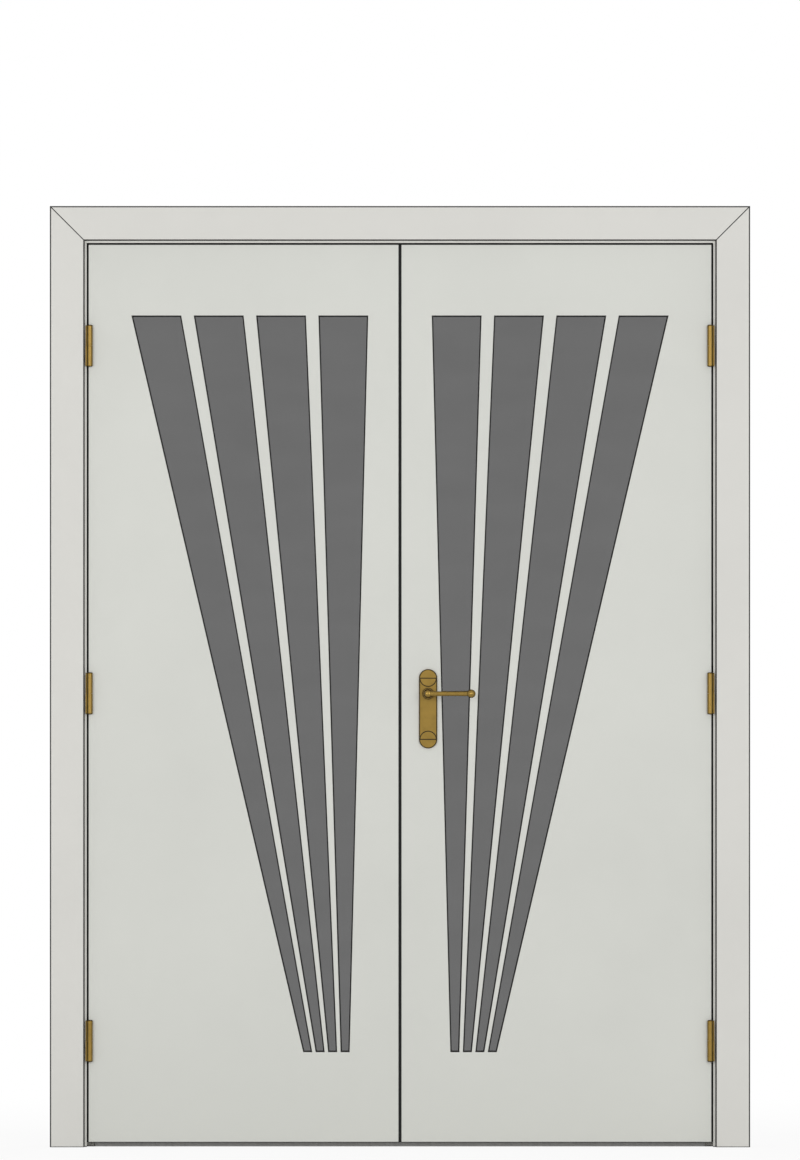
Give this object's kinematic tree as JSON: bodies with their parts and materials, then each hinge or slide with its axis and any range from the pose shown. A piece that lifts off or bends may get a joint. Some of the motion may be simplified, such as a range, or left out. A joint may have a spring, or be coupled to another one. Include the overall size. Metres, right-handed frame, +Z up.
{
  "type": "double swing door",
  "caption": "Double hinged door with tapered glazed slots, brass lever latch and edge bolts, hung in a lined frame with mitred casings and a low threshold.",
  "frame": {"origin": "on the floor, at the middle of the doorway's width and of the lining's depth", "axes": "+X to the right seen from the swing side, +Y away from that side, +Z up"},
  "size_m": [1.544, 0.1935, 2.075],
  "materials": {
    "frame_paint": "satin paint on timber",
    "leaf_paint": "satin paint on timber board",
    "core_timber": "raw",
    "brass": "satin lacquered",
    "steel": "plated",
    "smoked_glass": "polished",
    "seal_rubber": "matt",
    "threshold_metal": "dark anodised"
  },
  "bodies": {
    "frame": {"casing_front_head": "frame_paint", "casing_front_left": "frame_paint", "casing_front_right": "frame_paint", "casing_rear_head": "frame_paint", "casing_rear_left": "frame_paint", "casing_rear_right": "frame_paint", "hinge_jamb_plate_left_bottom": "brass", "hinge_jamb_plate_left_middle": "brass", "hinge_jamb_plate_left_top": "brass", "hinge_jamb_plate_right_bottom": "brass", "hinge_jamb_plate_right_middle": "brass", "hinge_jamb_plate_right_top": "brass", "jamb_head": "frame_paint", "jamb_left": "frame_paint", "jamb_right": "frame_paint", "stop_head": "frame_paint", "stop_left": "frame_paint", "stop_right": "frame_paint", "threshold": "threshold_metal", "head_keep": "brass"},
    "leaf_left": {"core_left": "core_timber", "glass_left": "smoked_glass", "glazing_seal_left": "seal_rubber", "hinge_stile_left": "leaf_paint", "meeting_stile_left": "leaf_paint", "panel_front_left": "leaf_paint", "panel_rear_left": "leaf_paint", "hinge_leaf_plate_left_bottom": "brass", "hinge_leaf_plate_left_middle": "brass", "hinge_leaf_plate_left_top": "brass", "shoot_case_bottom": "brass", "shoot_case_top": "brass", "strike_plate": "brass"},
    "leaf_right": {"core_right": "core_timber", "glass_right": "smoked_glass", "glazing_seal_right": "seal_rubber", "hinge_stile_right": "leaf_paint", "meeting_stile_right": "leaf_paint", "panel_front_right": "leaf_paint", "panel_rear_right": "leaf_paint", "escutcheon_front": "brass", "escutcheon_rear": "brass", "hinge_leaf_plate_right_bottom": "brass", "hinge_leaf_plate_right_middle": "brass", "hinge_leaf_plate_right_top": "brass", "latch_case": "steel"},
    "lever": {"lever_front": "brass", "lever_rear": "brass", "spindle": "steel", "latch_follower": "steel"},
    "latch": {"latch_bolt": "brass", "latch_spring": "steel"},
    "shoot_bolt_top": {"shoot_bolt_top": "brass"},
    "shoot_bolt_bottom": {"shoot_bolt_bottom": "brass"}
  },
  "joints": [
    {"name": "leaf_left_swing", "type": "hinge", "parent": "frame", "child": "leaf_left", "pos_m": [-0.68425, -0.06725, 0], "axis": [0, 0, -1], "range_deg": [0, 165]},
    {"name": "leaf_right_swing", "type": "hinge", "parent": "frame", "child": "leaf_right", "pos_m": [0.68425, -0.06725, 0], "axis": [0, 0, 1], "range_deg": [0, 165]},
    {"name": "lever_turn", "type": "hinge", "parent": "leaf_right", "child": "lever", "pos_m": [0.062, -0.038, 1], "axis": [0, 1, 0], "range_deg": [0, 55], "stiffness_Nm_per_rad": 1, "springref_deg": -28.65},
    {"name": "latch_slide", "type": "slide", "parent": "leaf_right", "child": "latch", "axis": [1, 0, 0], "range_m": [0, 0.0101], "deforming": ["latch_spring"]},
    {"name": "shoot_bolt_top_slide", "type": "slide", "parent": "leaf_left", "child": "shoot_bolt_top", "axis": [0, 0, 1], "range_m": [0, 0.015]},
    {"name": "shoot_bolt_bottom_slide", "type": "slide", "parent": "leaf_left", "child": "shoot_bolt_bottom", "axis": [0, 0, -1], "range_m": [0, 0.015]}
  ],
  "couplings": [
    {"joint": "latch_slide", "follows": "lever_turn", "m_per_rad": 0.010417}
  ]
}
